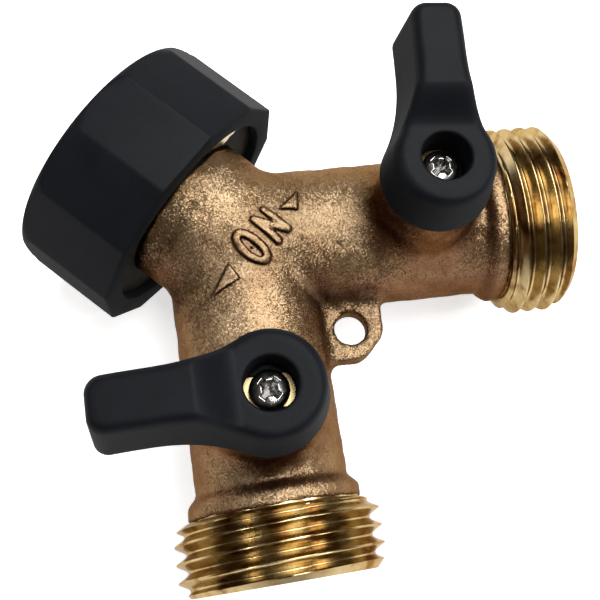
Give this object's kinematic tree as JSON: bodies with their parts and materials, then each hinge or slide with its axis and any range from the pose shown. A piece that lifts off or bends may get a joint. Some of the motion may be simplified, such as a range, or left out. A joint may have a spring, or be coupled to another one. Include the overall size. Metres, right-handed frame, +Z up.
{
  "type": "hose splitter",
  "caption": "Cast brass garden hose splitter: a black swivel inlet nut feeds a wye with a lever ball valve and a male threaded outlet on each leg.",
  "frame": {"origin": "middle of the inlet washer's sealing face, on the inlet axis", "axes": "+Y out of the inlet along its axis, +Z up the valve stems, +X across both legs to the right valve"},
  "size_m": [0.0812, 0.0648, 0.0484],
  "materials": {
    "cast_brass": "sand-cast and blasted, coarse satin grain, golden brown, with polished machined threads",
    "machined_brass": "machined, bright with fine turning marks",
    "black_plastic": "moulded, matte with a very fine texture",
    "nickel_screw": "bright nickel plate",
    "plated_ball": "polished plate",
    "spring_steel": "plain spring steel",
    "black_rubber": "smooth matte rubber",
    "white_seat": "smooth white low-friction plastic"
  },
  "bodies": {
    "splitter": {"body": "cast_brass", "nut_snap_ring": "spring_steel", "inlet_washer": "black_rubber", "left_inner_seat": "white_seat", "left_outer_seat": "white_seat", "left_seat_retainer": "machined_brass", "right_inner_seat": "white_seat", "right_outer_seat": "white_seat", "right_seat_retainer": "machined_brass"},
    "swivel_nut": {"nut_shell": "black_plastic", "nut_insert": "machined_brass"},
    "left_valve": {"left_ball": "plated_ball", "left_stem": "machined_brass", "left_stem_o_rings": "black_rubber", "left_stem_washer": "white_seat", "left_handle": "black_plastic", "left_handle_screw": "nickel_screw"},
    "right_valve": {"right_ball": "plated_ball", "right_stem": "machined_brass", "right_stem_o_rings": "black_rubber", "right_stem_washer": "white_seat", "right_handle": "black_plastic", "right_handle_screw": "nickel_screw"}
  },
  "joints": [
    {"name": "nut_spin", "type": "hinge", "parent": "splitter", "child": "swivel_nut", "pos_m": [0, 0, 0], "axis": [0, 1, 0], "continuous": true},
    {"name": "left_valve_turn", "type": "hinge", "parent": "splitter", "child": "left_valve", "pos_m": [-0.01729, -0.03338, 0], "axis": [0, 0, -1], "range_deg": [0, 90.2]},
    {"name": "right_valve_turn", "type": "hinge", "parent": "splitter", "child": "right_valve", "pos_m": [0.01729, -0.03338, 0], "axis": [0, 0, 1], "range_deg": [0, 94.3]}
  ]
}
